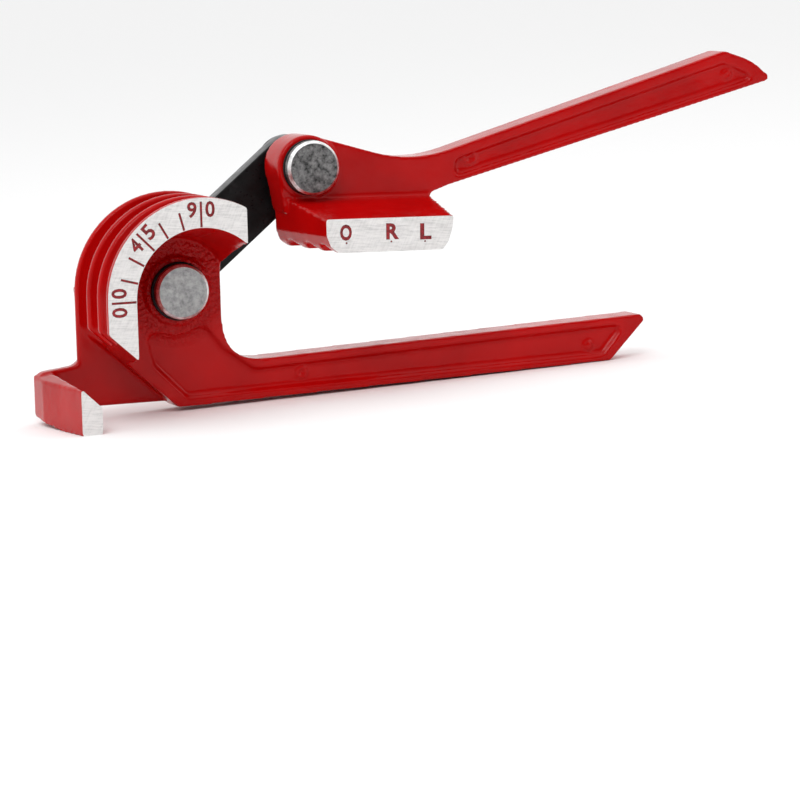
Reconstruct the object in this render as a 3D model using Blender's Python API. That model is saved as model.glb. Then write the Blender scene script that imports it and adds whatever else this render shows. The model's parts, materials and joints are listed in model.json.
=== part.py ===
"""Three-size hand tube bender: two cast levers joined by a steel link and two riveted pins.

The tool stands upright on its hook and on the end of its lower handle. Sizes below are in
millimetres in the casting frame: X along the lower handle, Y from the dial face towards the
back, Z up, with zero at the former pin's axis in the plane of the dial face.
"""
import math

import bmesh
import bpy
from mathutils import Vector

MM = 0.001

# Tubes that the bender takes, smallest at the front, and the wheel that they bend round.
TUBE_DIAMETERS = (6.35, 7.94, 9.53)
RIM_RADIUS = 29.0
TUBE_OUTER_RADIUS = 31.4
WHEEL_WIDTH = 34.0
DIAL_INNER_RADIUS = 20.6
CAVITY_FLOOR_RADIUS = 15.6
CAVITY_FLOOR_DEPTH = 25.2
WHEEL_CORE_RADIUS = 6.0
HUB_RADIUS = 13.0
END_CUT_X = 14.0
RIM_CHAMFER = 0.5
STRAIGHT_RUN = 30.0
WHEEL_SWEEP = math.radians(160.0)
ARC_STEP = math.radians(5.0)

# The slanted cut that leaves a way for the tube between the wheel and the hook.
SLANT_POINT = (-18.9, -18.2)
SLANT_ANGLE = math.radians(-42.3)

# Handles: flat bars with a recessed front panel, both in the same plane.
HANDLE_FRONT = 25.0
HANDLE_BACK = 36.0
PANEL_DEPTH = 1.5
PANEL_DRAFT = 1.1

# Hook and the thin web that carries it behind the tubes.
WEB_FRONT = 31.6
WEB_BACK = 35.8
WEB_BOTTOM = -33.5
HOOK_LEFT, HOOK_RIGHT = -37.6, -31.75
HOOK_TOP = -24.4
HOOK_BACK_LEFT = -41.8
HOOK_BACK_LIFT = 2.2
HOOK_FLAT = 14.0
STAND_TILT = math.radians(2.2)
GROUND_AT = (-34.7, -37.4)

# Shoe: the grooved block of the upper casting.
SHOE_FRONT_LEFT, SHOE_FRONT_RIGHT = 38.6, 78.4
SHOE_DRAFT = 4.0
SHOE_BOTTOM = 10.0
SHOE_TOP = 19.6
SHOE_SHOULDER = 24.6
SHOE_SLOPE = math.radians(-1.4)
SHOE_MIDDLE_X = 58.5
SHOE_GROOVE_DEPTH = 2.4

# Pivots. Heads sit at the front, a washer each side of the castings, the link at the back.
SHOE_PIVOT = (42.1, 34.3)
BARREL_RADIUS = 9.6
BOSS_RADIUS = 10.2
BOSS_FACE = 23.5
HUB_BACK = 36.5
GAP = 0.3
SKIN = 0.1
PIN_RADIUS = 5.0
PIN_HEAD_RADIUS = 8.15
PIN_HEAD_THICKNESS = 3.0
PIN_HEAD_CHAMFER = 0.7
WASHER_RADIUS = 8.7
WASHER_THICKNESS = 1.2
LINK_HALF_WIDTH = 9.0
LINK_THICKNESS = 5.6
LINK_CHAMFER = 0.8
TAIL_RADIUS = 7.0
TAIL_THICKNESS = 2.2

HEAD_WASHER_FRONT = BOSS_FACE - GAP - WASHER_THICKNESS
HEAD_FRONT = HEAD_WASHER_FRONT - GAP - PIN_HEAD_THICKNESS
LINK_WASHER_FRONT = HUB_BACK + GAP
LINK_FRONT = LINK_WASHER_FRONT + WASHER_THICKNESS + GAP
LINK_BACK = LINK_FRONT + LINK_THICKNESS
TAIL_WASHER_FRONT = LINK_BACK + GAP
TAIL_FRONT = TAIL_WASHER_FRONT + WASHER_THICKNESS + GAP
BORE_RADIUS = PIN_RADIUS + GAP
BORE_FRONT, BORE_BACK = -5.0, 60.0
BOSS_ROOT = 30.0


# ---------------------------------------------------------------- outlines in the X-Z plane

def arc(centre, radius, start_deg, end_deg, step=ARC_STEP):
    """Points along an arc, both ends included."""
    start, end = math.radians(start_deg), math.radians(end_deg)
    count = max(2, math.ceil(abs(end - start) / step) + 1)
    angles = [start + (end - start) * i / (count - 1) for i in range(count)]
    return [(centre[0] + radius * math.cos(a), centre[1] + radius * math.sin(a)) for a in angles]


def rounded(corners, steps=5):
    """A closed outline from (x, z, radius) corners, each corner turned into an arc."""
    outline = []
    for index, (x, z, radius) in enumerate(corners):
        corner = Vector((x, z))
        before = Vector(corners[index - 1][:2]) - corner
        after = Vector(corners[(index + 1) % len(corners)][:2]) - corner
        if radius <= 0:
            outline.append((x, z))
            continue
        half = before.angle(after) / 2
        reach = min(radius / math.tan(half), 0.49 * before.length, 0.49 * after.length)
        start = corner + before.normalized() * reach
        end = corner + after.normalized() * reach
        for i in range(steps + 1):
            t = i / steps
            point = start * (1 - t) ** 2 + corner * 2 * t * (1 - t) + end * t ** 2
            outline.append((point.x, point.y))
    return outline


def offset(outline, distance):
    """The outline moved inwards by distance, or outwards where it is negative."""
    points = [Vector(p) for p in outline]
    area = sum(a.x * b.y - b.x * a.y for a, b in zip(points, points[1:] + points[:1]))
    turn = 1 if area > 0 else -1
    moved = []
    for index, point in enumerate(points):
        ahead = (points[(index + 1) % len(points)] - point).normalized()
        behind = (point - points[index - 1]).normalized()
        normal = (Vector((-ahead.y, ahead.x)) + Vector((-behind.y, behind.x))) * turn
        scale = distance / max(0.5, normal.length / 2)
        moved.append(tuple(point + normal.normalized() * scale))
    return moved


# ------------------------------------------------------------------------- mesh and objects

def face_at(bm, outline, depth):
    """A flat face with this X-Z outline at one depth."""
    return bm.faces.new([bm.verts.new((x, depth, z)) for x, z in outline])


def extrude_face(bm, face, move):
    """Extrude one face along a vector and return the faces of the far end."""
    made = bmesh.ops.extrude_face_region(bm, geom=[face])["geom"]
    verts = [item for item in made if isinstance(item, bmesh.types.BMVert)]
    bmesh.ops.translate(bm, verts=verts, vec=move)
    return [item for item in made if isinstance(item, bmesh.types.BMFace)]


def prism(outline, front, back):
    """An outline extruded from front to back."""
    bm = bmesh.new()
    extrude_face(bm, face_at(bm, outline, front), (0, back - front, 0))
    return bm


def loft(sections):
    """A closed body through equal-length (outline, depth) sections, with flat triangles."""
    bm = bmesh.new()
    rings = [[bm.verts.new((x, depth, z)) for x, z in outline] for outline, depth in sections]
    for near, far in zip(rings, rings[1:]):
        for i in range(len(near)):
            j = (i + 1) % len(near)
            bm.faces.new((near[i], near[j], far[j], far[i]))
    bm.faces.new(rings[0])
    bm.faces.new(rings[-1])
    bmesh.ops.triangulate(bm, faces=bm.faces)
    return bm


def turned(profile, centre, segments=48):
    """A body turned about a Y axis through centre from (radius, depth) points on the axis."""
    bm = bmesh.new()
    verts = [bm.verts.new((radius, depth, 0)) for radius, depth in profile]
    edges = [bm.edges.new(pair) for pair in zip(verts, verts[1:])]
    bmesh.ops.spin(bm, geom=verts + edges, axis=(0, 1, 0), cent=(0, 0, 0),
                   angle=2 * math.pi, steps=segments, use_merge=True)
    bmesh.ops.remove_doubles(bm, verts=bm.verts, dist=0.001)
    bmesh.ops.translate(bm, verts=bm.verts, vec=(centre[0], 0, centre[1]))
    return bm


def bore_body(centre):
    """A cutter for a pin's bore, longer than any part that it passes through."""
    return turned([(0, BORE_FRONT), (BORE_RADIUS, BORE_FRONT), (BORE_RADIUS, BORE_BACK),
                   (0, BORE_BACK)], centre)


def ring(outer, inner, front, back, centre, chamfer=0.2):
    """A washer turned about a Y axis."""
    bm = bmesh.new()
    profile = [(inner, front), (outer - chamfer, front), (outer, front + chamfer),
               (outer, back - chamfer), (outer - chamfer, back), (inner, back)]
    verts = [bm.verts.new((radius, depth, 0)) for radius, depth in profile]
    edges = [bm.edges.new(pair) for pair in zip(verts, verts[1:] + verts[:1])]
    bmesh.ops.spin(bm, geom=verts + edges, axis=(0, 1, 0), cent=(0, 0, 0),
                   angle=2 * math.pi, steps=48, use_merge=True)
    bmesh.ops.remove_doubles(bm, verts=bm.verts, dist=0.001)
    bmesh.ops.translate(bm, verts=bm.verts, vec=(centre[0], 0, centre[1]))
    return bm


def make_material(name, colour, roughness, metallic):
    """A Principled material."""
    material = bpy.data.materials.new(name)
    material.use_nodes = True
    shader = material.node_tree.nodes["Principled BSDF"]
    shader.inputs["Base Color"].default_value = (*colour, 1.0)
    shader.inputs["Roughness"].default_value = roughness
    shader.inputs["Metallic"].default_value = metallic
    return material


def add_object(name, bm, parent, pivot, material=None):
    """Turn a casting-frame bmesh in millimetres into an object with its origin at pivot."""
    bmesh.ops.recalc_face_normals(bm, faces=bm.faces)
    bmesh.ops.translate(bm, verts=bm.verts, vec=(-pivot[0], 0, -pivot[1]))
    bmesh.ops.scale(bm, verts=bm.verts, vec=(MM, MM, MM))
    mesh = bpy.data.meshes.new(name)
    bm.to_mesh(mesh)
    bm.free()
    mesh.shade_smooth()
    mesh.set_sharp_from_angle(angle=math.radians(30))
    obj = bpy.data.objects.new(name, mesh)
    bpy.context.collection.objects.link(obj)
    obj.parent = parent
    if material:
        mesh.materials.append(material)
    return obj


def add_empty(name, parent, location):
    """An empty that marks a frame or a joint's axis."""
    empty = bpy.data.objects.new(name, None)
    bpy.context.collection.objects.link(empty)
    empty.parent = parent
    empty.location = location
    return empty


def combine(target, operation, name, bm, pivot):
    """Join a body to the target, or cut it away, with a live Boolean modifier."""
    tool = add_object(f"{target.name}.{name}", bm, target.parent, pivot)
    tool.hide_render = True
    tool.display_type = "WIRE"
    modifier = target.modifiers.new(name, "BOOLEAN")
    modifier.operation = operation
    modifier.solver = "EXACT"
    modifier.object = tool


# ------------------------------------------------------------------------- lower casting

def groove_starts():
    """Depth at which each tube groove starts, with equal lands between them."""
    land = (WHEEL_WIDTH - sum(TUBE_DIAMETERS)) / (len(TUBE_DIAMETERS) + 1)
    starts = []
    depth = land
    for diameter in TUBE_DIAMETERS:
        starts.append(depth)
        depth += diameter + land
    return starts


def wheel_profile():
    """The wheel's (radius, depth) section: dial face, three U grooves, back and cavity."""
    profile = [(DIAL_INNER_RADIUS, 0.0)]
    edge = 0.0
    for start, diameter in zip(groove_starts(), TUBE_DIAMETERS):
        profile += [(RIM_RADIUS - RIM_CHAMFER, edge), (RIM_RADIUS, edge + RIM_CHAMFER)]
        profile += [(RIM_RADIUS, start - RIM_CHAMFER), (RIM_RADIUS - RIM_CHAMFER, start)]
        centre = (TUBE_OUTER_RADIUS - diameter / 2, start + diameter / 2)
        profile += arc(centre, diameter / 2, 270, 90, math.radians(22.5))
        edge = start + diameter
    profile += [(RIM_RADIUS - RIM_CHAMFER, edge), (RIM_RADIUS, edge + RIM_CHAMFER)]
    profile += [(RIM_RADIUS, WHEEL_WIDTH - RIM_CHAMFER), (RIM_RADIUS - RIM_CHAMFER, WHEEL_WIDTH)]
    profile += [(WHEEL_CORE_RADIUS, WHEEL_WIDTH), (WHEEL_CORE_RADIUS, CAVITY_FLOOR_DEPTH)]
    profile.append((CAVITY_FLOOR_RADIUS, CAVITY_FLOOR_DEPTH))
    return profile


def grooved_wheel():
    """The wheel: a straight run at the zero mark, then an arc over the top past the end cut."""
    bm = bmesh.new()
    foot = bm.faces.new([bm.verts.new((-r, y, -STRAIGHT_RUN)) for r, y in wheel_profile()])
    top = extrude_face(bm, foot, (0, 0, STRAIGHT_RUN))
    verts = [v for face in top for v in face.verts]
    edges = [e for face in top for e in face.edges]
    bmesh.ops.spin(bm, geom=verts + edges + top, axis=(0, 1, 0), cent=(0, 0, 0),
                   angle=WHEEL_SWEEP, steps=math.ceil(WHEEL_SWEEP / ARC_STEP))
    return bm


def slant_at(x):
    """Height of the slanted cut at x."""
    return SLANT_POINT[1] + (x - SLANT_POINT[0]) * math.tan(SLANT_ANGLE)


def ground_at(x):
    """Height at x of the surface that the tool stands on, in the casting frame."""
    return GROUND_AT[1] + (x - GROUND_AT[0]) * math.tan(STAND_TILT)


def lower_handle_outline():
    """Hub plate and handle: right edge, fillet, handle, slanted end, bottom, slanted corner."""
    right = END_CUT_X - SKIN
    return rounded([
        (right, 8.0, 0), (right, -22.6, 13.0), (151.3, -16.9, 0.6), (152.5, -18.7, 0.6),
        (140.7, -30.6, 1.6),
        (-0.5, -34.8, 1.0), (-18.0, slant_at(-18.0) + SKIN, 0), (-18.0, 8.0, 0)], steps=8)


def lower_panel_outline():
    """Floor of the recessed panel on the lower casting's front."""
    return rounded([
        (-9.0, -12.6, 1.5), (-0.5, -14.4, 3.0), (8.4, -11.8, 2.0), (13.6, -18.6, 4.0),
        (23.5, -25.8, 6.0), (144.3, -20.4, 1.2), (137.8, -27.9, 1.5), (2.5, -31.2, 2.0),
        (-7.0, -21.5, 2.0)], steps=4)


def panel_cutter(outline):
    """A cutter with sloping walls that leaves a raised rim round a handle's front."""
    clear = 1.0
    wide = offset(outline, -PANEL_DRAFT * (1 + clear / PANEL_DEPTH))
    return loft([(wide, HANDLE_FRONT - clear), (outline, HANDLE_FRONT + PANEL_DEPTH)])


def hook_web_outline():
    """The thin web behind the tubes, from the wheel's back land down to the hook."""
    return rounded([
        (-28.6, 2.0, 0), (-27.2, -20.8, 5.0), (HOOK_BACK_LEFT + 0.5, -22.4, 3.0),
        (HOOK_BACK_LEFT + 0.5, -34.6, 1.5), (-38.4, ground_at(-38.4) + HOOK_BACK_LIFT + SKIN, 0),
        (HOOK_RIGHT - 1.0, ground_at(HOOK_RIGHT) + HOOK_BACK_LIFT + SKIN, 0),
        (HOOK_RIGHT + 3.0, WEB_BOTTOM, 2.0),
        (4.0, WEB_BOTTOM, 0), (4.0, 2.0, 0)], steps=6)


def hook_outline(left, left_top, right_top, lift):
    """Front view of the hook: upright left side, foot, slanted side facing the tube."""
    return [(left, ground_at(left) + lift), (HOOK_RIGHT, ground_at(HOOK_RIGHT) + lift),
            (HOOK_RIGHT, HOOK_TOP - 5.3), (HOOK_LEFT + 0.3, right_top), (left, left_top)]


def hook_body():
    """The hook: a bar that widens from the front face back to the web, flat under its front."""
    return loft([(hook_outline(HOOK_LEFT, HOOK_TOP, HOOK_TOP, 0.0), 0.0),
                 (hook_outline(HOOK_LEFT - 2.3, HOOK_TOP + 0.2, HOOK_TOP + 0.9, 0.0), HOOK_FLAT),
                 (hook_outline(HOOK_BACK_LEFT, HOOK_TOP + 0.4, HOOK_TOP + 1.7, 1.2), 26.0),
                 (hook_outline(HOOK_BACK_LEFT, HOOK_TOP + 1.0, HOOK_TOP + 2.1, HOOK_BACK_LIFT),
                  WEB_BACK - SKIN)])


def build_lower_casting(frame, paint):
    """Former wheel, hub plate, hook and lower handle: one casting."""
    pivot = (0.0, 0.0)
    casting = add_object("lower_casting", grooved_wheel(), frame, pivot, paint)
    beyond_end = [(END_CUT_X, -60), (60, -60), (60, 60), (END_CUT_X, 60)]
    below_slant = [(-70, slant_at(-70)), (20, slant_at(20)), (20, -90), (-70, -90)]
    core = turned([(0, CAVITY_FLOOR_DEPTH + SKIN), (HUB_RADIUS, CAVITY_FLOOR_DEPTH + SKIN),
                   (HUB_RADIUS, HUB_BACK), (0, HUB_BACK)], pivot)
    boss = turned([(0, BOSS_FACE), (BOSS_RADIUS - 0.4, BOSS_FACE), (BOSS_RADIUS, BOSS_FACE + 0.4),
                   (BOSS_RADIUS, BOSS_ROOT), (0, BOSS_ROOT)], pivot)
    combine(casting, "DIFFERENCE", "end_cut", prism(beyond_end, -5, 40), pivot)
    combine(casting, "DIFFERENCE", "slant_cut", prism(below_slant, -5, WEB_FRONT), pivot)
    combine(casting, "UNION", "handle",
            prism(lower_handle_outline(), HANDLE_FRONT, HANDLE_BACK), pivot)
    combine(casting, "UNION", "web", prism(hook_web_outline(), WEB_FRONT, WEB_BACK), pivot)
    combine(casting, "UNION", "hook", hook_body(), pivot)
    combine(casting, "UNION", "core", core, pivot)
    combine(casting, "UNION", "boss", boss, pivot)
    combine(casting, "DIFFERENCE", "panel", panel_cutter(lower_panel_outline()), pivot)
    combine(casting, "DIFFERENCE", "bore", bore_body(pivot), pivot)


# ------------------------------------------------------------------------- upper casting

def upper_handle_outline():
    """Neck round the shoe pivot, saddle and handle, with the notch behind the shoe."""
    x, z = SHOE_PIVOT
    shoulder = BARREL_RADIUS - SKIN
    neck = arc(SHOE_PIVOT, shoulder, 70, 180, math.radians(10))
    rest = rounded([
        (x - shoulder, z, 0), (34.8, 21.0, 0), (80.8, 21.0, 0), (81.8, 24.6, 1.5),
        (88.0, 26.7, 4.0), (196.2, 53.6, 0.8), (197.3, 54.9, 0.8), (191.2, 60.1, 20.0),
        (181.9, 63.4, 2.0), (76.2, 33.9, 45.0),
        (x + shoulder * math.cos(math.radians(70)), z + shoulder * math.sin(math.radians(70)), 0),
    ], steps=8)
    return neck[1:-1] + rest


def upper_panel_outline():
    """Floor of the recessed panel on the upper handle's front."""
    return rounded([(91.0, 33.8, 2.0), (90.5, 29.8, 2.0), (191.0, 54.9, 1.0), (181.5, 58.9, 1.5)],
                   steps=4)


def shoe_slope(x, z):
    """A point moved down the shoe's slight slope."""
    return (x, z + (x - SHOE_MIDDLE_X) * math.tan(SHOE_SLOPE))


def shoe_section(spread, top):
    """Front view of the shoe block, widened by spread at each end."""
    left, right = SHOE_FRONT_LEFT - spread, SHOE_FRONT_RIGHT + spread
    corners = [(left, top), (left, SHOE_BOTTOM + 5.0), (left + 1.2, SHOE_BOTTOM + 1.8),
               (left + 3.6, SHOE_BOTTOM), (right - 3.6, SHOE_BOTTOM),
               (right - 1.7, SHOE_BOTTOM + 2.4), (right - 0.4, SHOE_BOTTOM + 6.5), (right, top)]
    return [shoe_slope(x, z) for x, z in corners]


def shoe_body():
    """The shoe block: upright front face, top rising to the handle, ends drafted."""
    share = (HANDLE_FRONT + 1.0) / WHEEL_WIDTH
    return loft([(shoe_section(0.0, SHOE_TOP), 0.0),
                 (shoe_section(SHOE_DRAFT * share, SHOE_SHOULDER), HANDLE_FRONT + 1.0),
                 (shoe_section(SHOE_DRAFT, SHOE_SHOULDER), WHEEL_WIDTH)])


def shoe_groove(start, diameter):
    """A round cutter along the shoe's underside for one tube."""
    radius = diameter / 2 + 0.2
    centre_z = SHOE_BOTTOM + SHOE_GROOVE_DEPTH - radius
    bm = bmesh.new()
    points = arc((start + diameter / 2, centre_z), radius, 0, 360, math.radians(15))[:-1]
    x = SHOE_FRONT_LEFT - 15.0
    face = bm.faces.new([bm.verts.new((x, y, z)) for y, z in points])
    extrude_face(bm, face, (SHOE_FRONT_RIGHT - SHOE_FRONT_LEFT + 30.0, 0, 0))
    for vert in bm.verts:
        vert.co.z = shoe_slope(vert.co.x, vert.co.z)[1]
    return bm


def build_upper_casting(pivot_empty, paint):
    """Grooved shoe, pivot barrel and upper handle: one casting."""
    handle = prism(upper_handle_outline(), HANDLE_FRONT, HANDLE_BACK)
    casting = add_object("upper_casting", handle, pivot_empty, SHOE_PIVOT, paint)
    barrel = turned([(0, BOSS_FACE), (BARREL_RADIUS - 0.5, BOSS_FACE),
                     (BARREL_RADIUS, BOSS_FACE + 0.5), (BARREL_RADIUS, HUB_BACK), (0, HUB_BACK)],
                    SHOE_PIVOT)
    combine(casting, "UNION", "barrel", barrel, SHOE_PIVOT)
    combine(casting, "UNION", "shoe", shoe_body(), SHOE_PIVOT)
    for start, diameter in zip(groove_starts(), TUBE_DIAMETERS):
        groove = shoe_groove(start, diameter)
        combine(casting, "DIFFERENCE", f"groove_{start:.0f}", groove, SHOE_PIVOT)
    combine(casting, "DIFFERENCE", "panel", panel_cutter(upper_panel_outline()), SHOE_PIVOT)
    combine(casting, "DIFFERENCE", "bore", bore_body(SHOE_PIVOT), SHOE_PIVOT)


# ------------------------------------------------------------------------- link and pins

def build_link(pivot_empty, paint):
    """The steel link: a flat bar with round ends and chamfered edges, bored for both pins."""
    x, z = SHOE_PIVOT
    lean = math.degrees(math.atan2(z, x))

    def outline(radius):
        return (arc((0, 0), radius, lean + 90, lean + 270) +
                arc(SHOE_PIVOT, radius, lean - 90, lean + 90))

    inner, outer = outline(LINK_HALF_WIDTH - LINK_CHAMFER), outline(LINK_HALF_WIDTH)
    bar = loft([(inner, LINK_FRONT), (outer, LINK_FRONT + LINK_CHAMFER),
                (outer, LINK_BACK - LINK_CHAMFER), (inner, LINK_BACK)])
    link = add_object("link_bar", bar, pivot_empty, (0.0, 0.0), paint)
    for name, centre in (("former_bore", (0.0, 0.0)), ("shoe_bore", SHOE_PIVOT)):
        combine(link, "DIFFERENCE", name, bore_body(centre), (0.0, 0.0))


def build_pin(name, parent, centre, origin, steel):
    """A headed pin with a chamfered flat head at the front and a peened tail at the back."""
    back = TAIL_FRONT + TAIL_THICKNESS
    head_back = HEAD_FRONT + PIN_HEAD_THICKNESS
    profile = [(0, HEAD_FRONT), (PIN_HEAD_RADIUS - PIN_HEAD_CHAMFER, HEAD_FRONT),
               (PIN_HEAD_RADIUS, HEAD_FRONT + PIN_HEAD_CHAMFER),
               (PIN_HEAD_RADIUS, head_back), (PIN_RADIUS, head_back), (PIN_RADIUS, TAIL_FRONT),
               (TAIL_RADIUS, TAIL_FRONT), (TAIL_RADIUS, TAIL_FRONT + 0.6),
               (TAIL_RADIUS * 0.8, back - 0.35), (TAIL_RADIUS * 0.45, back), (0, back)]
    add_object(name, turned(profile, centre), parent, origin, steel)


def build_washer(name, parent, centre, origin, front, finish):
    """A flat washer on a pin."""
    bm = ring(WASHER_RADIUS, BORE_RADIUS, front, front + WASHER_THICKNESS, centre)
    add_object(name, bm, parent, origin, finish)


def stand_on_ground(frame):
    """Move the tool so that the middle of its box is over the origin and its foot is at zero."""
    bpy.context.view_layer.update()
    graph = bpy.context.evaluated_depsgraph_get()
    corners = []
    for obj in bpy.context.scene.objects:
        if obj.type == "MESH" and not obj.hide_render:
            placed = obj.evaluated_get(graph)
            corners += [placed.matrix_world @ vert.co for vert in placed.data.vertices]
    low = [min(c[i] for c in corners) for i in range(3)]
    high = [max(c[i] for c in corners) for i in range(3)]
    frame.location -= Vector(((low[0] + high[0]) / 2, (low[1] + high[1]) / 2, low[2]))


def main():
    """Clear the scene and build the tool."""
    for obj in list(bpy.data.objects):
        bpy.data.objects.remove(obj, do_unlink=True)
    red = make_material("red_enamel", (0.50, 0.008, 0.012), 0.28, 0.0)
    black = make_material("black_steel", (0.012, 0.012, 0.014), 0.38, 0.6)
    steel = make_material("plated_steel", (0.55, 0.56, 0.57), 0.30, 1.0)
    dark = make_material("blackened_steel", (0.03, 0.03, 0.032), 0.45, 0.7)

    frame = add_empty("tool_frame", None, (0, 0, 0))
    frame.rotation_euler = (0, STAND_TILT, 0)
    former_pivot = add_empty("former_pivot", frame, (0, 0, 0))
    shoe_location = (SHOE_PIVOT[0] * MM, 0, SHOE_PIVOT[1] * MM)
    shoe_pivot = add_empty("shoe_pivot", former_pivot, shoe_location)

    centre = (0.0, 0.0)
    build_lower_casting(frame, red)
    build_upper_casting(shoe_pivot, red)
    build_link(former_pivot, black)
    build_pin("former_pin", frame, centre, centre, steel)
    build_pin("shoe_pin", shoe_pivot, SHOE_PIVOT, SHOE_PIVOT, steel)
    for place, front in (("head", HEAD_WASHER_FRONT), ("link", LINK_WASHER_FRONT),
                         ("tail", TAIL_WASHER_FRONT)):
        build_washer(f"former_{place}_washer", frame, centre, centre, front, dark)
        build_washer(f"shoe_{place}_washer", shoe_pivot, SHOE_PIVOT, SHOE_PIVOT, front, dark)
    stand_on_ground(frame)


main()
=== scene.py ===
"""Looks of a three-size hand tube bender: enamelled castings, bare dial, steel pins and link."""

import json
import math

import bmesh
import bpy
from bpy.props import FloatProperty, FloatVectorProperty, IntProperty, PointerProperty
from mathutils import Matrix, Vector


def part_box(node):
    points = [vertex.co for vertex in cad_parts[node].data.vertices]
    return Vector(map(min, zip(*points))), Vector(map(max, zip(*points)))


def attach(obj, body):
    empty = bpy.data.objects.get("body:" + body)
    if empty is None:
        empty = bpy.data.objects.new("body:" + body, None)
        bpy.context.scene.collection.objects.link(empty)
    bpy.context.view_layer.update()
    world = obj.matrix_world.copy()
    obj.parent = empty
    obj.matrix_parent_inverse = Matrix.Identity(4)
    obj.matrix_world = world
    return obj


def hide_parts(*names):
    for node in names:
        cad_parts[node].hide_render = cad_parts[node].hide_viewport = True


bl_info = {
    "name": "Hand Tube Bender",
    "version": (1, 0, 0),
    "blender": (4, 5, 0),
    "location": "View3D > Sidebar > Tube Bender",
    "description": "Builds the castings, link, pins and washers of a hand tube bender",
    "category": "Object",
}

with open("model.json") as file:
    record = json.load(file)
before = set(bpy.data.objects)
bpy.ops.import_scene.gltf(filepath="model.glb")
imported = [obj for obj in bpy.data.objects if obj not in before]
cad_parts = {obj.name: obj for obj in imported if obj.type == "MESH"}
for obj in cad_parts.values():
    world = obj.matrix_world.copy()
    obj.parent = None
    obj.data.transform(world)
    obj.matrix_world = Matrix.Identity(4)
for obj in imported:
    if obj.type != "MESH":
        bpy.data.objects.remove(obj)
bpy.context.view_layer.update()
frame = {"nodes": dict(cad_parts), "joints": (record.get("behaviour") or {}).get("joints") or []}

MM = 0.001
STAND_TILT = math.radians(2.2)
FACE_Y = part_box("lower_casting")[0].y


def joint_place(name):
    """Where a joint's axis is at rest, in the row frame."""
    return Vector(next(j for j in frame["joints"] if j["name"] == name)["pos_m"])


# The casting frame: millimetres, zero on the former pin's axis in the plane of the dial face.
FORMER_PIN = joint_place("former_hinge")
SHOE_PIN = joint_place("shoe_hinge")
CASTING_FRAME = (Matrix.Translation((FORMER_PIN.x, FACE_Y, FORMER_PIN.z))
                 @ Matrix.Rotation(STAND_TILT, 4, "Y") @ Matrix.Scale(MM, 4))
TO_CASTING = CASTING_FRAME.inverted()
SHOE_CENTRE = TO_CASTING @ Vector((SHOE_PIN.x, FACE_Y, SHOE_PIN.z))
FORMER_CENTRE = Vector((0.0, 0.0, 0.0))


def depth_of(node, side):
    """Casting-frame depth in millimetres of a node's front (0) or back (1)."""
    return (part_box(node)[side].y - FACE_Y) / MM


# ------------------------------------------------------------------------------ properties

class BenderSizes(bpy.types.PropertyGroup):
    """Sizes of the details that the looks add to the frame."""
    cast_cell: FloatProperty(
        name="Cast skin cell", description="Spacing of the mesh on the castings",
        default=0.0005, unit="LENGTH")
    cast_rounding: IntProperty(
        name="Cast rounding", description="Passes that soften a casting's edges",
        default=4, min=0, max=20)
    mark_depth: FloatProperty(
        name="Mark depth", description="How deep the painted marks are cut",
        default=0.00025, unit="LENGTH")
    digit_height: FloatProperty(
        name="Digit height", description="Height of the angle numbers on the dial",
        default=0.0047, unit="LENGTH")
    letter_height: FloatProperty(
        name="Letter height", description="Height of the letters on the shoe",
        default=0.0048, unit="LENGTH")
    tick_width: FloatProperty(
        name="Tick width", description="Width of the dial's angle marks",
        default=0.00068, unit="LENGTH")
    head_radius: FloatProperty(
        name="Pin head radius", description="Radius of the pins' round heads",
        default=0.00815, unit="LENGTH")
    washer_radius: FloatProperty(
        name="Washer radius", description="Radius of the washers under the heads",
        default=0.0087, unit="LENGTH")


class BenderColours(bpy.types.PropertyGroup):
    """Colours of the finishes."""
    enamel: FloatVectorProperty(
        name="Enamel", description="Red enamel on the castings", subtype="COLOR", size=3,
        min=0, max=1, default=(0.42, 0.0016, 0.0018))
    marks: FloatVectorProperty(
        name="Mark paint", description="Paint in the dial's and shoe's marks", subtype="COLOR",
        size=3, min=0, max=1, default=(0.24, 0.008, 0.012))
    bare_metal: FloatVectorProperty(
        name="Bare metal", description="Machined faces of the castings", subtype="COLOR",
        size=3, min=0, max=1, default=(0.80, 0.78, 0.77))
    plating: FloatVectorProperty(
        name="Plating", description="Plated steel of the pins", subtype="COLOR", size=3,
        min=0, max=1, default=(0.36, 0.36, 0.36))
    black: FloatVectorProperty(
        name="Black paint", description="Black finish of the link and washers", subtype="COLOR",
        size=3, min=0, max=1, default=(0.004, 0.004, 0.0042))
    floor: FloatVectorProperty(
        name="Floor", description="Colour of the studio floor", subtype="COLOR", size=3,
        min=0, max=1, default=(0.93, 0.93, 0.93))


# ------------------------------------------------------------------------------- materials

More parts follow.
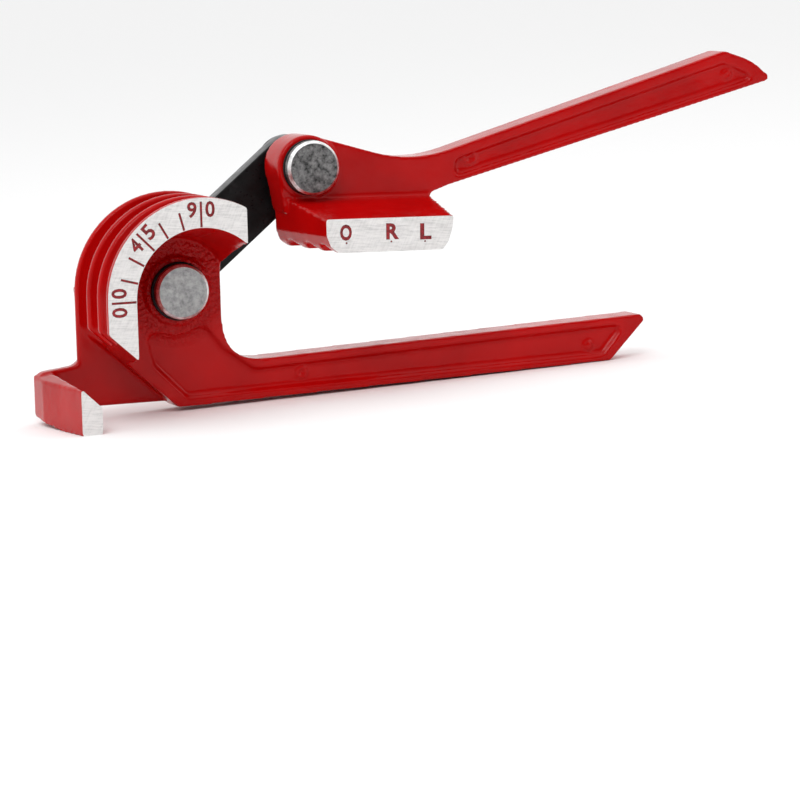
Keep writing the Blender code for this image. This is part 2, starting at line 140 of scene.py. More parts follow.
class Finish:
    """A node tree with a Principled shader, and short ways to add pattern nodes to it."""

    def __init__(self, name, colour, roughness, metallic=0.0, **constants):
        self.material = bpy.data.materials.new(name)
        self.material.use_nodes = True
        self.tree = self.material.node_tree
        self.shader = self.tree.nodes["Principled BSDF"]
        self.set("Base Color", (*colour, 1.0))
        self.set("Roughness", roughness)
        self.set("Metallic", metallic)
        for socket, value in constants.items():
            self.set(socket.replace("_", " "), value)
        self.place = self.tree.nodes.new("ShaderNodeTexCoord").outputs["Object"]

    def set(self, socket, value):
        self.shader.inputs[socket].default_value = value

    def link(self, source, target):
        self.tree.links.new(source, target)

    def stretched(self, scale, turn=(0.0, 0.0, 0.0), about=(0.0, 0.0, 0.0)):
        """Object coordinates turned about a point and scaled, to centre or stretch a pattern."""
        node = self.tree.nodes.new("ShaderNodeMapping")
        node.vector_type = "TEXTURE"
        node.inputs["Location"].default_value = about
        node.inputs["Rotation"].default_value = turn
        node.inputs["Scale"].default_value = [1.0 / s for s in scale]
        self.link(self.place, node.inputs["Vector"])
        return node.outputs["Vector"]

    def noise(self, scale, detail=3.0, vector=None, roughness=0.5):
        """Cloudy pattern, with its scale in features a metre."""
        node = self.tree.nodes.new("ShaderNodeTexNoise")
        node.inputs["Scale"].default_value = scale
        node.inputs["Detail"].default_value = detail
        node.inputs["Roughness"].default_value = roughness
        self.link(vector or self.place, node.inputs["Vector"])
        return node.outputs["Fac"]

    def rings(self, vector, distortion):
        """Rings round the Y axis, as a lathe leaves."""
        node = self.tree.nodes.new("ShaderNodeTexWave")
        node.wave_type = "RINGS"
        node.rings_direction = "Y"
        node.inputs["Scale"].default_value = 1.0
        node.inputs["Distortion"].default_value = distortion
        node.inputs["Detail"].default_value = 2.0
        self.link(vector, node.inputs["Vector"])
        return node.outputs["Fac"]

    def distance(self, point):
        """Metres from a point."""
        node = self.tree.nodes.new("ShaderNodeVectorMath")
        node.operation = "DISTANCE"
        node.inputs[1].default_value = point
        self.link(self.place, node.inputs[0])
        return node.outputs["Value"]

    def ramp(self, source, stops):
        """Colours along a pattern, from (place, colour) stops."""
        node = self.tree.nodes.new("ShaderNodeValToRGB")
        elements = node.color_ramp.elements
        while len(elements) < len(stops):
            elements.new(0.5)
        for element, (place, value) in zip(elements, stops):
            element.position = place
            element.color = (*value, 1.0)
        self.link(source, node.inputs["Fac"])
        return node.outputs["Color"]

    def range(self, source, low, high, start=0.35, end=0.65):
        """A pattern's start to end spread over low to high."""
        node = self.tree.nodes.new("ShaderNodeMapRange")
        node.inputs["From Min"].default_value = start
        node.inputs["From Max"].default_value = end
        node.inputs["To Min"].default_value = low
        node.inputs["To Max"].default_value = high
        self.link(source, node.inputs["Value"])
        return node.outputs["Result"]

    def math(self, kind, first, second):
        node = self.tree.nodes.new("ShaderNodeMath")
        node.operation = kind
        for socket, value in zip(node.inputs, (first, second)):
            if isinstance(value, (int, float)):
                socket.default_value = value
            else:
                self.link(value, socket)
        return node.outputs["Value"]

    def mix(self, factor, first, second):
        node = self.tree.nodes.new("ShaderNodeMix")
        node.data_type = "RGBA"
        self.link(factor, node.inputs["Factor"])
        for socket, value in ((node.inputs["A"], first), (node.inputs["B"], second)):
            if isinstance(value, tuple):
                socket.default_value = (*value, 1.0)
            else:
                self.link(value, socket)
        return node.outputs["Result"]

    def colour(self, source):
        self.link(source, self.shader.inputs["Base Color"])

    def roughness(self, source):
        self.link(source, self.shader.inputs["Roughness"])

    def bump(self, layers):
        """Bump from (height source, strength, distance) layers, largest first."""
        normal = None
        for height, strength, distance in layers:
            node = self.tree.nodes.new("ShaderNodeBump")
            node.inputs["Strength"].default_value = strength
            node.inputs["Distance"].default_value = distance
            self.link(height, node.inputs["Height"])
            if normal is not None:
                self.link(normal, node.inputs["Normal"])
            normal = node.outputs["Normal"]
        self.link(normal, self.shader.inputs["Normal"])


def shade(colour, factor):
    """A lighter or darker version of a colour."""
    return tuple(min(1.0, c * factor) for c in colour)


# Pattern scales are in features a metre. A bump layer is (scale, detail, strength, height), its
# height in metres.
ENAMEL_SPECULAR = 0.16
ENAMEL_DRIFT, ENAMEL_SHEEN = 55.0, 240.0
ORANGE_PEEL = ((160.0, 2.0, 0.16, 0.0010), (900.0, 3.0, 0.10, 0.0003))
PEBBLES = (760.0, 2.0, 0.9, 0.0012)
PEBBLED_OUT_TO, SMOOTH_FROM = 0.0145, 0.0175


def enamel_finish(name, colour, pebbled_at=None):
    """Glossy enamel over a cast skin: orange peel, colour drift, and pebbles in a recess."""
    f = Finish(name, colour, 0.18, Specular_IOR_Level=ENAMEL_SPECULAR)
    f.colour(f.ramp(f.noise(ENAMEL_DRIFT, 4.0),
                    [(0.30, shade(colour, 0.84)), (0.55, colour), (0.75, shade(colour, 1.10))]))
    f.roughness(f.range(f.noise(ENAMEL_SHEEN), 0.11, 0.22))
    layers = [(f.noise(scale, detail), strength, height)
              for scale, detail, strength, height in ORANGE_PEEL]
    if pebbled_at is not None:
        scale, detail, strength, height = PEBBLES
        near = f.range(f.distance(pebbled_at), 1.0, 0.0, PEBBLED_OUT_TO, SMOOTH_FROM)
        layers.append((f.math("MULTIPLY", near, f.noise(scale, detail)), strength, height))
    f.bump(layers)
    return f.material


# Scratches as (scales along X, Y and Z, turn in the face's plane, detail).
SCRATCHES_ACROSS = ((260.0, 400.0, 2600.0), 0.12, 6.0)
SCRATCHES_ALONG = ((2200.0, 400.0, 180.0), 0.5, 5.0)
STAIN_SCALE = 420.0
PAINT_WEAR, PAINT_SHEEN, PAINT_GRAIN = 1500.0, 2500.0, 2600.0


def machined_finish(name, colour):
    """Bare aluminium cut flat: fine scratches both ways, dull blotches."""
    f = Finish(name, colour, 0.42, 0.6)
    across, along = (f.noise(1.0, detail, f.stretched(scales, (0, turn, 0)), 0.65)
                     for scales, turn, detail in (SCRATCHES_ACROSS, SCRATCHES_ALONG))
    scratches = f.math("ADD", f.math("MULTIPLY", across, 0.65), f.math("MULTIPLY", along, 0.35))
    stains = f.noise(STAIN_SCALE, 4.0)
    base = f.ramp(scratches, [(0.36, shade(colour, 0.78)), (0.50, colour),
                              (0.64, shade(colour, 1.12))])
    f.colour(f.mix(f.range(stains, 0.0, 0.35, 0.52, 0.75), base, shade(colour, 0.72)))
    f.roughness(f.range(scratches, 0.34, 0.56))
    f.bump([(scratches, 0.35, 0.00012)])
    return f.material


def mark_finish(name, colour):
    """Dull paint rubbed into the cut marks."""
    f = Finish(name, colour, 0.55)
    f.colour(f.ramp(f.noise(PAINT_WEAR, 4.0),
                    [(0.35, shade(colour, 0.6)), (0.5, colour), (0.7, shade(colour, 1.7))]))
    f.roughness(f.range(f.noise(PAINT_SHEEN), 0.42, 0.7))
    f.bump([(f.noise(PAINT_GRAIN), 0.25, 0.0001)])
    return f.material


TURNING_SCALE = 620.0
MOTTLE_SCALE, FLECK_SCALE = 560.0, 2400.0


def plated_finish(name, colour, centre, stain):
    """Dull zinc plating: turning rings, fine pitting and mottled stains of a given strength."""
    f = Finish(name, colour, 0.36, 1.0)
    turned = f.rings(f.stretched((TURNING_SCALE,) * 3, about=CASTING_FRAME @ centre), 2.5)
    mottle = f.noise(MOTTLE_SCALE, 6.0, roughness=0.62)
    flecks = f.noise(FLECK_SCALE, 5.0, roughness=0.7)
    surface = f.math("ADD", f.math("MULTIPLY", mottle, 0.75), f.math("MULTIPLY", flecks, 0.25))
    f.colour(f.ramp(surface, [(0.38, shade(colour, 1.0 - stain)), (0.50, colour),
                              (0.61, shade(colour, 1.0 + stain))]))
    f.roughness(f.range(surface, 0.30, 0.48, 0.4, 0.62))
    f.bump([(turned, 0.30, 0.00010), (flecks, 0.35, 0.00010)])
    return f.material


BLACK_SPECULAR, SHEARED_SPECULAR = 0.16, 0.9
RUBBED_SCALE, RUBBED_TURN = 310.0, 0.68
BLACK_SHEEN, BLACK_GRAIN = 700.0, 1300.0


def black_finish(name, colour, roughness, specular=BLACK_SPECULAR):
    """Satin black paint on steel: fine grain, rubbed lighter in places."""
    f = Finish(name, colour, roughness, 0.0, Specular_IOR_Level=specular)
    rubbed = f.noise(RUBBED_SCALE, 6.0, f.stretched((1.0, 1.0, 1.0), (0, RUBBED_TURN, 0)), 0.6)
    f.colour(f.ramp(rubbed, [(0.40, colour), (0.62, shade(colour, 1.8)),
                             (0.78, shade(colour, 4.5))]))
    f.roughness(f.range(f.noise(BLACK_SHEEN, 4.0), roughness - 0.07, roughness + 0.12))
    f.bump([(f.noise(BLACK_GRAIN, 4.0), 0.22, 0.00015)])
    return f.material


# ------------------------------------------------------------------------ shared modelling

CREASE_ANGLE = math.radians(38)


def finish_piece(name, bm, materials, body, slot, *nodes):
    """Place a casting-frame bmesh in the row frame as an object that rides on a body."""
    bmesh.ops.recalc_face_normals(bm, faces=bm.faces)
    bmesh.ops.transform(bm, matrix=CASTING_FRAME, verts=bm.verts)
    mesh = bpy.data.meshes.new(name)
    bm.to_mesh(mesh)
    bm.free()
    obj = bpy.data.objects.new(name, mesh)
    bpy.context.collection.objects.link(obj)
    for material in materials:
        mesh.materials.append(material)
    mesh.shade_smooth()
    mesh.set_sharp_from_angle(angle=CREASE_ANGLE)
    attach(obj, body)
    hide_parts(*nodes)


def spun(points, centre, steps, closed):
    """A body turned round a pin's axis from (radius, depth) points, a ring if they close."""
    bm = bmesh.new()
    verts = [bm.verts.new((r, y, 0.0)) for r, y in points]
    pairs = list(zip(verts, verts[1:])) + ([(verts[-1], verts[0])] if closed else [])
    edges = [bm.edges.new(pair) for pair in pairs]
    bmesh.ops.spin(bm, geom=verts + edges, axis=(0, 1, 0), cent=(0, 0, 0),
                   angle=2 * math.pi, steps=steps, use_merge=True)
    bmesh.ops.remove_doubles(bm, verts=bm.verts, dist=0.0005)
    bmesh.ops.translate(bm, verts=bm.verts, vec=(centre.x, 0.0, centre.z))
    return bm


def sharp_edges(bm, degrees):
    """Edges where two faces meet at more than an angle."""
    bm.normal_update()
    limit = math.radians(degrees)
    return [e for e in bm.edges if len(e.link_faces) == 2 and e.calc_face_angle(0.0) > limit]


def closed_loop(bm, points):
    """Edges round a list of (x, y, z) points."""
    verts = [bm.verts.new(p) for p in points]
    return [bm.edges.new(pair) for pair in zip(verts, verts[1:] + verts[:1])]


def moved_back(bm, geometry, depth):
    """Move the vertices of some new geometry back along the pins, and return them."""
    verts = [g for g in geometry if isinstance(g, bmesh.types.BMVert)]
    bmesh.ops.translate(bm, verts=verts, vec=(0.0, depth, 0.0))
    return verts


# ------------------------------------------------------------------------ marks on the faces

def text_outline(letter, boldness, width, height, centre, up):
    """Closed edge loops of one character in the X-Z plane, as lists of (x, z) points."""
    curve = bpy.data.curves.new("letter", "FONT")
    curve.body = letter
    curve.align_x = "CENTER"
    curve.resolution_u = 3
    curve.offset = boldness
    obj = bpy.data.objects.new("letter", curve)
    bpy.context.collection.objects.link(obj)
    bpy.context.view_layer.update()
    mesh = bpy.data.meshes.new_from_object(obj)
    bpy.data.objects.remove(obj)
    bm = bmesh.new()
    bm.from_mesh(mesh)
    bpy.data.meshes.remove(mesh)
    bmesh.ops.remove_doubles(bm, verts=bm.verts, dist=1e-5)
    border = {e for e in bm.edges if len(e.link_faces) == 1}
    loops = []
    while border:
        edge = border.pop()
        start, vert = edge.verts
        loop = [start.co.copy(), vert.co.copy()]
        while True:
            following = next((e for e in vert.link_edges if e in border), None)
            if following is None:
                break
            border.discard(following)
            vert = following.other_vert(vert)
            if vert is start:
                break
            loop.append(vert.co.copy())
        loops.append(loop)
    bm.free()
    points = [p for loop in loops for p in loop]
    low = Vector((min(p.x for p in points), min(p.y for p in points)))
    high = Vector((max(p.x for p in points), max(p.y for p in points)))
    middle = (low + high) / 2
    right = Vector((up.y, -up.x)) * width / (high.x - low.x)
    rise = up * height / (high.y - low.y)
    return [[centre + right * (p.x - middle.x) + rise * (p.y - middle.y) for p in loop]
            for loop in loops]


# Millimetres in the casting frame. A digit's or letter's width is a share of its height.
DIGIT_BOLDNESS, LETTER_BOLDNESS = 0.026, 0.042
DIGIT_WIDTH = 0.62
TICK_STEP, TICK_COUNT = 15, 7
TICK_START = 20.4
LONG_TICK, SHORT_TICK = 27.8, 25.7
DIGIT_RADIUS, DIGIT_SPREAD = 25.5, 2.75
DIAL_NUMBERS = ((180, "00"), (135, "45"), (90, "90"))
SHOE_SLOPE = math.radians(1.4)
SHOE_LETTERS = (
    ("O", 0.78, (44.4, 16.3)),
    ("R", 0.86, (59.1, 15.9)),
    ("L", 0.76, (69.6, 15.3)),
)
SHOE_DOTS = ((44.5, 13.2), (58.6, 12.9), (69.3, 12.4))
DOT_RADIUS, DOT_SIDES = 0.32, 6


def direction(angle):
    """A unit vector at an angle in the X-Z plane, as (x, z)."""
    return Vector((math.cos(angle), math.sin(angle)))


def dial_marks(sizes):
    """Outlines of the dial's ticks and numbers: every 15 degrees from 0 to 90."""
    half = sizes.tick_width / MM / 2
    height = sizes.digit_height / MM
    loops = []
    for step in range(TICK_COUNT):
        out = direction(math.radians(180 - TICK_STEP * step))
        side = Vector((out.y, -out.x)) * half
        end = LONG_TICK if step % 3 == 0 else SHORT_TICK
        loops.append([out * TICK_START - side, out * TICK_START + side,
                      out * end + side, out * end - side])
    for degrees, digits in DIAL_NUMBERS:
        out = direction(math.radians(degrees))
        side = Vector((out.y, -out.x))
        for digit, way in zip(digits, (-1, 1)):
            place = out * DIGIT_RADIUS + side * way * DIGIT_SPREAD
            loops += text_outline(digit, DIGIT_BOLDNESS, DIGIT_WIDTH * height, height,
                                  place, out)
    return loops


def shoe_marks(sizes):
    """Outlines of the shoe's three alignment letters and the dots under them."""
    loops = []
    up = Vector((math.sin(SHOE_SLOPE), math.cos(SHOE_SLOPE)))
    height = sizes.letter_height / MM
    for letter, width, place in SHOE_LETTERS:
        loops += text_outline(letter, LETTER_BOLDNESS, width * height, height,
                              Vector(place), up)
    for place in SHOE_DOTS:
        loops.append([Vector(place) + DOT_RADIUS * direction(2 * math.pi * i / DOT_SIDES)
                      for i in range(DOT_SIDES)])
    return loops


# -------------------------------------------------------------------------------- castings

# Material places on a casting, after the enamel at 0.
BARE, MARK = 1, 2
# Millimetres in the casting frame. An ejector mark is (x, z, radius).
PANEL_FLOOR = 26.5
EJECTOR_RISE, EJECTOR_WIDTH, EJECTOR_ROOT = 0.7, 0.8, 2.0
LOWER_EJECTORS = ((38.8, -27.2, 1.9), (133.5, -25.8, 1.3))
UPPER_EJECTORS = ((95.2, 34.6, 2.2), (183.1, 56.1, 1.4))
FACE_TOLERANCE = 0.02
OVERSHOOT = 2.0


def add_ejector_mark(bm, x, z, radius):
    """A low raised ring on a handle's panel, where the die pushed the casting out."""
    made = []
    for r in (radius, radius - EJECTOR_WIDTH):
        circle = bmesh.ops.create_circle(bm, segments=24, radius=r, cap_ends=False)["verts"]
        bmesh.ops.rotate(bm, verts=circle, cent=(0, 0, 0),
                         matrix=Matrix.Rotation(math.pi / 2, 3, "X"))
        bmesh.ops.translate(bm, verts=circle, vec=(x, PANEL_FLOOR - EJECTOR_RISE, z))
        made += circle
    made = set(made)
    edges = [e for e in bm.edges if all(v in made for v in e.verts)]
    faces = bmesh.ops.bridge_loops(bm, edges=edges)["faces"]
    moved_back(bm, bmesh.ops.extrude_face_region(bm, geom=faces)["geom"], EJECTOR_ROOT)


def cast_skin(node, ejectors, sizes):
    """A casting's shape with soft cast edges, its front face left long for cutting."""
    bm = bmesh.new()
    bm.from_mesh(frame["nodes"][node].data)
    bmesh.ops.transform(bm, matrix=TO_CASTING, verts=bm.verts)
    bmesh.ops.remove_doubles(bm, verts=bm.verts, dist=0.002)
    front = [v for v in bm.verts if v.co.y < FACE_TOLERANCE]
    bmesh.ops.translate(bm, verts=front, vec=(0.0, -OVERSHOOT, 0.0))
    for x, z, radius in ejectors:
        add_ejector_mark(bm, x, z, radius)
    mesh = bpy.data.meshes.new(node + "_rough")
    bm.to_mesh(mesh)
    bm.free()
    rough = bpy.data.objects.new(node + "_rough", mesh)
    bpy.context.collection.objects.link(rough)
    remesh = rough.modifiers.new("skin", "REMESH")
    remesh.mode = "VOXEL"
    remesh.voxel_size = sizes.cast_cell / MM
    remesh.adaptivity = 0.0
    smooth = rough.modifiers.new("round", "SMOOTH")
    smooth.factor = 0.5
    smooth.iterations = sizes.cast_rounding
    graph = bpy.context.evaluated_depsgraph_get()
    skin = bmesh.new()
    skin.from_mesh(rough.evaluated_get(graph).to_mesh())
    bpy.data.objects.remove(rough)
    return skin


def cut_front(bm, marks, depth):
    """Cut the front flat at the dial plane, with the marks sunk into the bare face."""
    bmesh.ops.bisect_plane(bm, geom=bm.verts[:] + bm.edges[:] + bm.faces[:], dist=0.0005,
                           plane_co=(0, 0, 0), plane_no=(0, -1, 0), clear_outer=True)
    rim = [e for e in bm.edges if len(e.link_faces) == 1]
    mark_edges = []
    for loop in marks:
        mark_edges += closed_loop(bm, [(p.x, 0.0, p.y) for p in loop])
    filled = bmesh.ops.triangle_fill(bm, use_beauty=True, use_dissolve=False,
                                     edges=rim + mark_edges, normal=(0, -1, 0))
    for g in filled["geom"]:
        if isinstance(g, bmesh.types.BMFace):
            g.material_index = BARE
    walls = bmesh.ops.extrude_edge_only(bm, edges=mark_edges)["geom"]
    low = set(moved_back(bm, walls, depth))
    floor_edges = [g for g in walls if isinstance(g, bmesh.types.BMEdge)
                   and all(v in low for v in g.verts)]
    floors = bmesh.ops.triangle_fill(bm, use_beauty=True, use_dissolve=False,
                                     edges=floor_edges, normal=(0, -1, 0))
    for g in walls + floors["geom"]:
        if isinstance(g, bmesh.types.BMFace):
            g.material_index = MARK


def build_casting(name, node, body, marks, ejectors, pebbled_at, sizes, colours):
    """One enamelled casting with bare machined front faces and sunk marks."""
    bm = cast_skin(node, ejectors, sizes)
    cut_front(bm, marks, sizes.mark_depth / MM)
    if any(len(e.link_faces) != 2 for e in bm.edges):
        raise RuntimeError(f"{name} isn't closed")
    materials = [enamel_finish(f"{name}_enamel", colours.enamel[:], pebbled_at),
                 machined_finish(f"{name}_bare_face", colours.bare_metal[:]),
                 mark_finish(f"{name}_mark_paint", colours.marks[:])]
    finish_piece(name, bm, materials, body, "red_enamel", node)


class BENDER_OT_lower_casting(bpy.types.Operator):
    """Build the former wheel, dial, hook and lower handle as one cast piece"""
    bl_idname = "bender.lower_casting"
    bl_label = "Lower casting"

    def execute(self, context):
        sizes, colours = context.scene.bender_sizes, context.scene.bender_colours
        build_casting("former_and_lower_handle", "lower_casting", "former",
                      dial_marks(sizes), LOWER_EJECTORS,
                      CASTING_FRAME @ Vector((0.0, depth_of("former_head_washer", 1), 0.0)),
                      sizes, colours)
        return {"FINISHED"}


class BENDER_OT_upper_casting(bpy.types.Operator):
    """Build the grooved shoe, pivot barrel and upper handle as one cast piece"""
    bl_idname = "bender.upper_casting"
    bl_label = "Upper casting"

    def execute(self, context):
        sizes, colours = context.scene.bender_sizes, context.scene.bender_colours
        build_casting("shoe_and_upper_handle", "upper_casting", "lever",
                      shoe_marks(sizes), UPPER_EJECTORS, None, sizes, colours)
        return {"FINISHED"}


# --------------------------------------------------------------------------- link and pins

# Millimetres in the casting frame.
LINK_HALF_WIDTH, LINK_END_STEPS = 9.0, 32
LINK_EDGE, LINK_EDGE_SEGMENTS = 0.48, 3
BORE_RADIUS, BORE_STEPS = 5.3, 48
# How much lighter the link's side faces are painted: partly bare sheared steel, partly a painted
# reflection of the bright room.
SHEARED_EDGE_AND_REFLECTION_SHADE = 9.0


def arc_points(centre, radius, start, sweep, steps, count):
    """Points of an arc round a pin's axis, as (x, z)."""
    return [(centre.x + radius * math.cos(start + sweep * i / steps),
             centre.z + radius * math.sin(start + sweep * i / steps)) for i in range(count)]


class BENDER_OT_link(bpy.types.Operator):
    """Build the flat steel link that joins the two pins"""
    bl_idname = "bender.link"
    bl_label = "Link"

    def execute(self, context):
        colours = context.scene.bender_colours
        front, back = depth_of("link_bar", 0), depth_of("link_bar", 1)
        lean = math.atan2(SHOE_CENTRE.z, SHOE_CENTRE.x)
        bm = bmesh.new()
        loops = [arc_points(FORMER_CENTRE, LINK_HALF_WIDTH, lean + math.pi / 2, math.pi,
                            LINK_END_STEPS, LINK_END_STEPS + 1)
                 + arc_points(SHOE_CENTRE, LINK_HALF_WIDTH, lean - math.pi / 2, math.pi,
                              LINK_END_STEPS, LINK_END_STEPS + 1)]
        for centre in (FORMER_CENTRE, SHOE_CENTRE):
            loops.append(arc_points(centre, BORE_RADIUS, 0.0, 2 * math.pi, BORE_STEPS,
                                    BORE_STEPS))
        edges = []
        for loop in loops:
            edges += closed_loop(bm, [(x, front, z) for x, z in loop])
        bmesh.ops.triangle_fill(bm, use_beauty=True, edges=edges, normal=(0, -1, 0))
        moved_back(bm, bmesh.ops.extrude_face_region(bm, geom=bm.faces[:])["geom"],
                   back - front)
        bmesh.ops.recalc_face_normals(bm, faces=bm.faces)
        bmesh.ops.bevel(bm, geom=sharp_edges(bm, 60), offset=LINK_EDGE, offset_type="OFFSET",
                        affect="EDGES", segments=LINK_EDGE_SEGMENTS, profile=0.5, material=-1,
                        clamp_overlap=True)
        bm.normal_update()
        for face in bm.faces:
            # Side faces take a lighter black, partly for bare sheared steel and partly as a
            # painted reflection on the grazing sides.
            face.material_index = int(abs(face.normal.y) < 0.3)
        finish_piece("link_arm", bm,
                     [black_finish("satin_black", colours.black[:], 0.34),
                      black_finish("sheared_edge_and_painted_reflection", shade(colours.black[:], SHEARED_EDGE_AND_REFLECTION_SHADE),
                                   0.38, SHEARED_SPECULAR)],
                     "link", "black_steel", "link_bar")
        return {"FINISHED"}


HEAD_DEPTH, TAIL_DEPTH = 3.0, 2.2
SHANK_RADIUS, TAIL_RADIUS = 5.0, 7.0
CHAMFER_WIDTH, CHAMFER_DEPTH = 0.8, 0.95
CHAMFER_MARGIN, CHAMFER_REACH = 0.05, 1.5
# How much lighter the plating is painted on each head's chamfer ring: a painted highlight.
CHAMFER_PAINTED_HIGHLIGHT = 2.2
PIN_STEPS, WASHER_STEPS = 96, 80
# Each pin as (piece, node, body, axis, tone of its plating, strength of its stains).
PINS = (
    ("former_rivet", "former_pin", "former", FORMER_CENTRE, 1.0, 0.32),
    ("shoe_rivet", "shoe_pin", "lever", SHOE_CENTRE, 0.44, 0.80),
)


def pin_profile(head, front, back):
    """Half a pin's section, from its head's middle to its tail's, as (radius, depth)."""
    head_back, tail = front + HEAD_DEPTH, back - TAIL_DEPTH
    face = [(0, front + 0.10), (head * 0.45, front + 0.07), (head * 0.80, front),
            (head - CHAMFER_WIDTH, front), (head - 0.15, front + 0.72),
            (head, front + CHAMFER_DEPTH)]
    shank = [(head, head_back - 0.12), (head - 0.12, head_back),
             (SHANK_RADIUS + 0.15, head_back), (SHANK_RADIUS, head_back + 0.15),
             (SHANK_RADIUS, tail)]
    peened = [(TAIL_RADIUS - 0.1, tail), (TAIL_RADIUS, tail + 0.12), (TAIL_RADIUS, tail + 0.6),
              (TAIL_RADIUS - 0.4, tail + 1.2), (TAIL_RADIUS - 1.4, tail + 1.8),
              (3.9, back - 0.08), (3.1, back), (2.6, back - 0.35), (0, back - 0.5)]
    return face + shank + peened


class BENDER_OT_pins(bpy.types.Operator):
    """Build both headed pins, with chamfered heads and peened tails"""
    bl_idname = "bender.pins"
    bl_label = "Pins"

    def execute(self, context):
        sizes, colours = context.scene.bender_sizes, context.scene.bender_colours
        head = sizes.head_radius / MM
        # The chamfer ring round each head gets the plating painted lighter all round, as a
        # painted highlight.
        painted_highlight = plated_finish("chamfer_painted_highlight", shade(colours.plating[:], CHAMFER_PAINTED_HIGHLIGHT),
                               FORMER_CENTRE, 0.32)
        inner = head - CHAMFER_WIDTH - CHAMFER_MARGIN
        for name, node, body, centre, tone, stain in PINS:
            front, back = depth_of(node, 0), depth_of(node, 1)
            finish = plated_finish(f"{name}_plating", shade(colours.plating[:], tone),
                                   centre, stain)
            bm = spun(pin_profile(head, front, back), centre, PIN_STEPS, False)
            for face in bm.faces:
                middle = face.calc_center_median()
                reach = math.hypot(middle.x - centre.x, middle.z - centre.z)
                face.material_index = int(reach > inner and middle.y < front + CHAMFER_REACH)
            finish_piece(name, bm, [finish, painted_highlight], body, "plated_steel", node)
        return {"FINISHED"}


SHOE_WASHER_TRIM = 0.35


def washer_profile(outer, front, back):
    """A washer's section with its edges broken, as (radius, depth)."""
    return [(BORE_RADIUS, front + 0.1), (BORE_RADIUS + 0.1, front), (outer - 0.35, front),
            (outer - 0.1, front + 0.1), (outer, front + 0.32), (outer, back - 0.2),
            (outer - 0.2, back), (BORE_RADIUS + 0.1, back), (BORE_RADIUS, back - 0.1)]


class BENDER_OT_washers(bpy.types.Operator):
    """Build the six blackened washers on the pins"""
    bl_idname = "bender.washers"
    bl_label = "Washers"

    def execute(self, context):
        sizes, colours = context.scene.bender_sizes, context.scene.bender_colours
        finish = black_finish("blackened_washer", colours.black[:], 0.46)
        for pin, body, centre in (("former", "former", FORMER_CENTRE),
                                  ("shoe", "lever", SHOE_CENTRE)):
            for place in ("head", "link", "tail"):
                node = f"{pin}_{place}_washer"
                outer = sizes.washer_radius / MM
                if (pin, place) == ("shoe", "head"):
                    outer -= SHOE_WASHER_TRIM
                section = washer_profile(outer, depth_of(node, 0), depth_of(node, 1))
                finish_piece(f"{pin}_{place}_ring", spun(section, centre, WASHER_STEPS, True),
                             [finish], body, "blackened_steel", node)
        return {"FINISHED"}


# ----------------------------------------------------------------------------------- stage

# The view is in units of the former wheel's radius, in millimetres.
VIEW_AZIMUTH, VIEW_ELEVATION, VIEW_ROLL = (math.radians(a) for a in (-21.657, 7.549, -1.57))
VIEW_UNIT = 29.0
VIEW_ACROSS, VIEW_UP = 1.95, -1.017
VIEW_DISTANCE = 36.0
LENS_PER_UNIT = 100.512
SENSOR_WIDTH, FRAME_WIDTH = 36.0, 800
VIEW_REACH = 20.0

ROOM_BRIGHT_SIDE = (-0.25, 0.62, 0.74)
ROOM_DARK, ROOM_BRIGHT = 0.10, 1.05
DARK_UNTIL, BRIGHT_FROM = -0.55, 0.35
# Each soft light as (name, place, target, size, power).
LIGHTS = (
    ("key", (-0.55, -0.75, 0.95), (0, 0, 0.04), (0.7, 0.5), 5.0),
    ("fill", (0.95, -0.8, 0.45), (0, 0, 0.05), (0.6, 0.6), 2.2),
    ("top", (0.0, 0.15, 1.1), (0, 0, 0.04), (1.2, 0.8), 1.2),
)
FLOOR_REACH, FLOOR_GRAIN = 6.0, 40.0


def add_camera(context):
    """The camera, in front and a little to the left and above."""
    back = Vector((math.sin(VIEW_AZIMUTH) * math.cos(VIEW_ELEVATION),
                   -math.cos(VIEW_AZIMUTH) * math.cos(VIEW_ELEVATION),
                   math.sin(VIEW_ELEVATION)))
    side = (-back).cross(Vector((0, 0, 1))).normalized()
    over = back.cross(side)
    right = math.cos(VIEW_ROLL) * side + math.sin(VIEW_ROLL) * over
    up = math.cos(VIEW_ROLL) * over - math.sin(VIEW_ROLL) * side
    place = (VIEW_DISTANCE * back + VIEW_ACROSS * right + VIEW_UP * up) * VIEW_UNIT
    data = bpy.data.cameras.new("camera")
    data.sensor_width = SENSOR_WIDTH
    data.lens = LENS_PER_UNIT * VIEW_DISTANCE * SENSOR_WIDTH / FRAME_WIDTH
    data.clip_end = VIEW_REACH
    data.dof.use_dof = False
    camera = bpy.data.objects.new("camera", data)
    context.collection.objects.link(camera)
    turn = Matrix((right, up, back)).transposed().to_4x4()
    camera.matrix_world = (Matrix.Translation(CASTING_FRAME @ place)
                           @ Matrix.Rotation(STAND_TILT, 4, "Y") @ turn)
    context.scene.camera = camera


def add_soft_light(context, name, place, target, size, power):
    """A rectangular soft light aimed at a point."""
    data = bpy.data.lights.new(name, "AREA")
    data.shape = "RECTANGLE"
    data.size, data.size_y = size
    data.energy = power
    light = bpy.data.objects.new(name, data)
    context.collection.objects.link(light)
    light.location = place
    light.rotation_euler = (Vector(target) - Vector(place)).to_track_quat("-Z", "Y").to_euler()


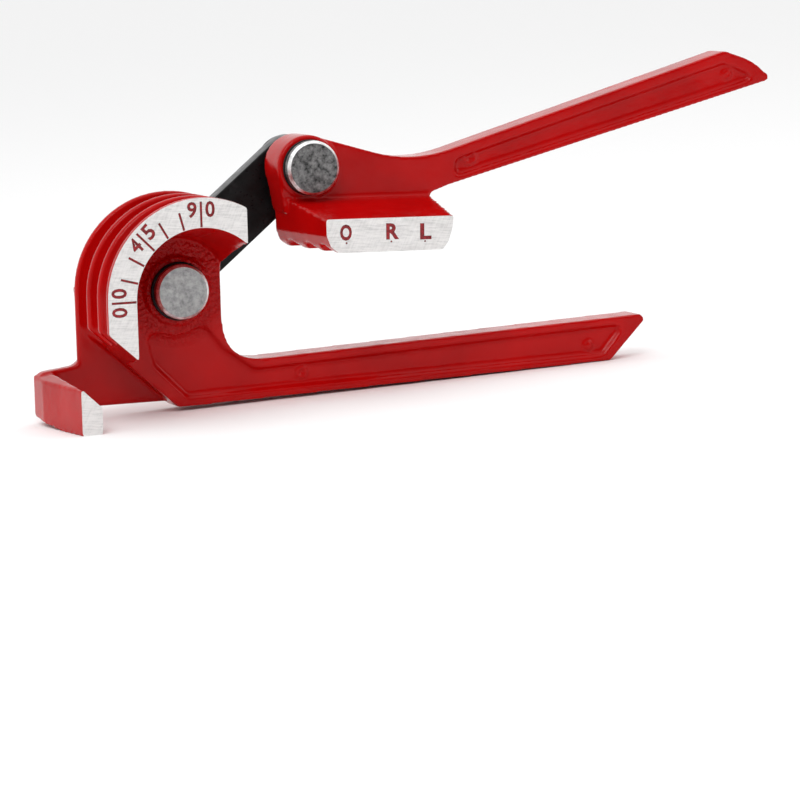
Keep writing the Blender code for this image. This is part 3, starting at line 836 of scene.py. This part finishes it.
def light_room(tree):
    """A white studio that is dark on the side where the camera stands."""
    sky = tree.nodes["Background"]
    sky.inputs["Color"].default_value = (1.0, 1.0, 1.0, 1.0)
    direction = tree.nodes.new("ShaderNodeTexCoord").outputs["Generated"]
    facing = tree.nodes.new("ShaderNodeVectorMath")
    facing.operation = "DOT_PRODUCT"
    facing.inputs[1].default_value = ROOM_BRIGHT_SIDE
    tree.links.new(direction, facing.inputs[0])
    ramp = tree.nodes.new("ShaderNodeMapRange")
    ramp.interpolation_type = "SMOOTHSTEP"
    for socket, value in (("From Min", DARK_UNTIL), ("From Max", BRIGHT_FROM),
                          ("To Min", ROOM_DARK), ("To Max", ROOM_BRIGHT)):
        ramp.inputs[socket].default_value = value
    tree.links.new(facing.outputs["Value"], ramp.inputs["Value"])
    tree.links.new(ramp.outputs["Result"], sky.inputs["Strength"])


class BENDER_OT_stage(bpy.types.Operator):
    """Set up the floor, the soft lights and the camera"""
    bl_idname = "bender.stage"
    bl_label = "Stage"

    def execute(self, context):
        colours = context.scene.bender_colours
        bm = bmesh.new()
        bmesh.ops.create_grid(bm, x_segments=8, y_segments=8, size=FLOOR_REACH)
        mesh = bpy.data.meshes.new("floor")
        bm.to_mesh(mesh)
        bm.free()
        floor = bpy.data.objects.new("floor", mesh)
        context.collection.objects.link(floor)
        paper = Finish("floor_paper", colours.floor[:], 0.85)
        paper.roughness(paper.range(paper.noise(FLOOR_GRAIN), 0.8, 0.92))
        mesh.materials.append(paper.material)

        world = bpy.data.worlds.new("studio")
        world.use_nodes = True
        light_room(world.node_tree)
        context.scene.world = world
        context.scene.view_settings.view_transform = "Standard"
        for light in LIGHTS:
            add_soft_light(context, *light)
        add_camera(context)
        return {"FINISHED"}


# ------------------------------------------------------------------------ panel and running

class BENDER_PT_panel(bpy.types.Panel):
    """Sizes, colours and build buttons"""
    bl_idname = "BENDER_PT_panel"
    bl_label = "Tube Bender"
    bl_space_type = "VIEW_3D"
    bl_region_type = "UI"
    bl_category = "Tube Bender"

    def draw(self, context):
        layout = self.layout
        for group in (context.scene.bender_sizes, context.scene.bender_colours):
            for name in group.bl_rna.properties.keys():
                if name not in ("rna_type", "name"):
                    layout.prop(group, name)
        for operator in OPERATORS:
            layout.operator(operator.bl_idname)


OPERATORS = (BENDER_OT_lower_casting, BENDER_OT_upper_casting, BENDER_OT_link, BENDER_OT_pins,
             BENDER_OT_washers, BENDER_OT_stage)
CLASSES = (BenderSizes, BenderColours, *OPERATORS, BENDER_PT_panel)


def register():
    for cls in CLASSES:
        bpy.utils.register_class(cls)
    bpy.types.Scene.bender_sizes = PointerProperty(type=BenderSizes)
    bpy.types.Scene.bender_colours = PointerProperty(type=BenderColours)


def unregister():
    del bpy.types.Scene.bender_colours
    del bpy.types.Scene.bender_sizes
    for cls in reversed(CLASSES):
        bpy.utils.unregister_class(cls)


def main():
    """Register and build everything."""
    register()
    bpy.ops.bender.lower_casting()
    bpy.ops.bender.upper_casting()
    bpy.ops.bender.link()
    bpy.ops.bender.pins()
    bpy.ops.bender.washers()
    bpy.ops.bender.stage()


if __name__ == "__main__":
    main()
